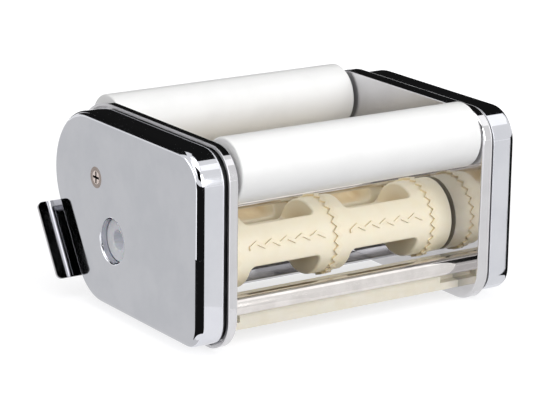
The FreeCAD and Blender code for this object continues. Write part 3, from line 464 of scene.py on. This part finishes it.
# cards hung round the object and turned to its middle
hungCards = {
    "flagBehind": {"azimuth": 142, "elevation": 20, "distance": 1.6,
                   "width": 2.3, "height": 1.9, "brightness": 0.01},
    "flagHigh": {"azimuth": 114, "elevation": 55, "distance": 1.5,
                 "width": 0.75, "height": 0.62, "brightness": 0.01},
    "flagLeft": {"azimuth": 203, "elevation": 31, "distance": 1.62,
                 "width": 0.9, "height": 1.15, "brightness": 0.01},
    "flagOverEar": {"azimuth": 320, "elevation": 36, "distance": 1.3,
                    "width": 1.05, "height": 0.85, "brightness": 0.0},
    "glintEar": {"azimuth": 244, "elevation": 2, "distance": 1.5,
                 "width": 0.85, "height": 0.46, "brightness": 3.2},
    "softboxRight": {"azimuth": 62, "elevation": 47, "distance": 1.4,
                     "width": 0.85, "height": 0.5, "brightness": 1.5},
}


def hungCard(name, azimuth, elevation, distance, width, height, brightness):
    spot, away = facing(azimuth, elevation, distance)
    turn = away.to_track_quat("Z", "Y")
    right, up = turn @ Vector((width / 2, 0, 0)), turn @ Vector((0, height / 2, 0))
    corners = [spot - right - up, spot + right - up, spot + right + up, spot - right + up]
    hideFromAllButMirrors(card(name, corners), brightness)


# cards lying on the floor: near and far are metres from the left cover's front corner, start and
# end are azimuths of the sides, and each card lies just above the one that follows it here
tableLook = {"corner": (-100 * mm, nipY - 66 * mm), "steps": 8,
             "lowest": -0.16 * mm, "layer": 0.03 * mm}
tableCards = {
    "cardLeft": {"near": 0.0, "far": 2.5, "start": 172, "end": 232, "brightness": 0.75},
    "cardEdge": {"near": 0.12, "far": 0.42, "start": 232, "end": 266, "brightness": 1.9},
    "cardFront": {"near": 0.09, "far": 2.5, "start": 19, "end": 92, "brightness": 1.0},
}


def tableCard(name, height, near, far, start, end, brightness):
    x, y = tableLook["corner"]
    corner = Vector((x, y, height))
    steps = tableLook["steps"]
    points = []
    for away in fan(start, end, steps):
        points += [corner + away * near, corner + away * far]
    faces = [(i, i + 1, i + 3, i + 2) for i in range(0, 2 * steps, 2)]
    hideFromAllButMirrors(card(name, points, faces), brightness)


# black curved cards standing on the floor close round a cover's upright front edge, which draw the
# dark line down it; the upper and the lower half may start at different azimuths
edgeLook = {"corner": (96.6 * mm, nipY - 60.7 * mm), "radius": 20 * mm, "steps": 24,
            "middle": 48 * mm, "top": 92 * mm, "brightness": 0.01}
edgeCards = {
    "flagEdgeLeft": {"side": -1, "startHigh": 255, "startLow": 231, "end": 380},
    "flagEdgeRight": {"side": 1, "startHigh": 33, "startLow": 33, "end": 150},
}


def edgeCard(name, side, startHigh, startLow, end):
    look = edgeLook
    x, y = look["corner"]
    corner = Vector((side * x, y, 0))
    steps = look["steps"]
    points, faces = [], []
    halves = ((0, look["middle"], startLow), (look["middle"], look["top"], startHigh))
    for bottom, top, start in halves:
        first = len(points)
        for away in fan(start, end, steps):
            foot = corner + away * look["radius"]
            points += [foot + Vector((0, 0, bottom)), foot + Vector((0, 0, top))]
        faces += [(i, i + 2, i + 3, i + 1) for i in range(first, first + 2 * steps, 2)]
    hideFromAllButMirrors(card(name, points, faces), look["brightness"])


lamps = {
    "lampAbove": {"azimuth": -20, "elevation": 75, "distance": 1.5, "size": 1.3, "power": 7.5},
    "lampFront": {"azimuth": 8, "elevation": 20, "distance": 1.7, "size": 1.2, "power": 15.5},
    "lampLeft": {"azimuth": -80, "elevation": 40, "distance": 1.7, "size": 1.0, "power": 4},
}


def lamp(name, azimuth, elevation, distance, size, power):
    spot, away = facing(azimuth, elevation, distance)
    light = bpy.data.lights.new(name, "AREA")
    light.shape = "SQUARE"
    light.size = size
    light.energy = power
    made = bpy.data.objects.new(name, light)
    made.location = spot
    made.rotation_mode = "QUATERNION"
    made.rotation_quaternion = away.to_track_quat("Z", "Y")
    made.visible_camera = False
    scene.collection.objects.link(made)


whiteSurround()
paleFloor()
for name, settings in hungCards.items():
    hungCard(name, **settings)
for layer, name in enumerate(reversed(tableCards)):
    tableCard(name, tableLook["lowest"] + layer * tableLook["layer"], **tableCards[name])
for name, settings in edgeCards.items():
    edgeCard(name, **settings)
for name, settings in lamps.items():
    lamp(name, **settings)
print("ravioli maker: studio lit")

# camera: about 1.37 m from the middle of the object, left of its front and looking down on it
cameraLook = {"eye": (-0.7384, nipY - 1.0804, 0.4205), "azimuth": -33.93, "elevation": 15.74,
              "roll": 0.79, "lens": 165.1, "sensor": 36.0}


def setCamera():
    look = cameraLook
    a, e, roll = (math.radians(look[key]) for key in ("azimuth", "elevation", "roll"))
    back = Vector((math.sin(a) * math.cos(e), -math.cos(a) * math.cos(e), math.sin(e)))
    sideway = Vector((math.cos(a), math.sin(a), 0))
    upright = back.cross(sideway)
    right = sideway * math.cos(roll) + upright * math.sin(roll)
    up = upright * math.cos(roll) - sideway * math.sin(roll)
    lens = bpy.data.cameras.new("camera")
    lens.lens = look["lens"]
    lens.sensor_fit = "HORIZONTAL"
    lens.sensor_width = look["sensor"]
    made = bpy.data.objects.new("camera", lens)
    turn = Matrix((right, up, back)).transposed().to_4x4()
    made.matrix_world = Matrix.Translation(look["eye"]) @ turn
    scene.collection.objects.link(made)
    scene.camera = made


setCamera()
print("ravioli maker: camera set")
